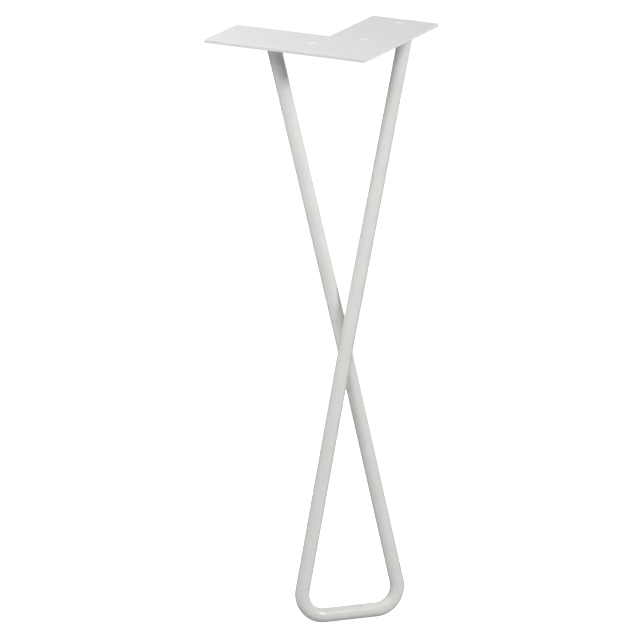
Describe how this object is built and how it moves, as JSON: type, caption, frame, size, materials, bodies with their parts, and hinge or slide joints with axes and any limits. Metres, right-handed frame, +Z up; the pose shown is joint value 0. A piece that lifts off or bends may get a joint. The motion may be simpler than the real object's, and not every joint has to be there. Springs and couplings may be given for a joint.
{
  "type": "hairpin table leg",
  "caption": "Crossed hairpin table leg: a round steel bar bent into an X with a narrow foot, welded under an L-shaped screw plate, powder coated off-white.",
  "frame": {"origin": "on the plate's top face, where the centre lines of its two arms cross", "axes": "+X along one arm, +Y along the other arm, +Z up into the table top; the foot is on the floor below, at Z = -400 mm"},
  "size_m": [0.1412, 0.1411, 0.4],
  "materials": {
    "white_coat": "off-white powder coat on steel, smooth satin"
  },
  "bodies": {
    "root": {"mounting_plate": "white_coat", "hairpin_rod": "white_coat", "left_weld_bead": "white_coat", "right_weld_bead": "white_coat"}
  },
  "joints": []
}
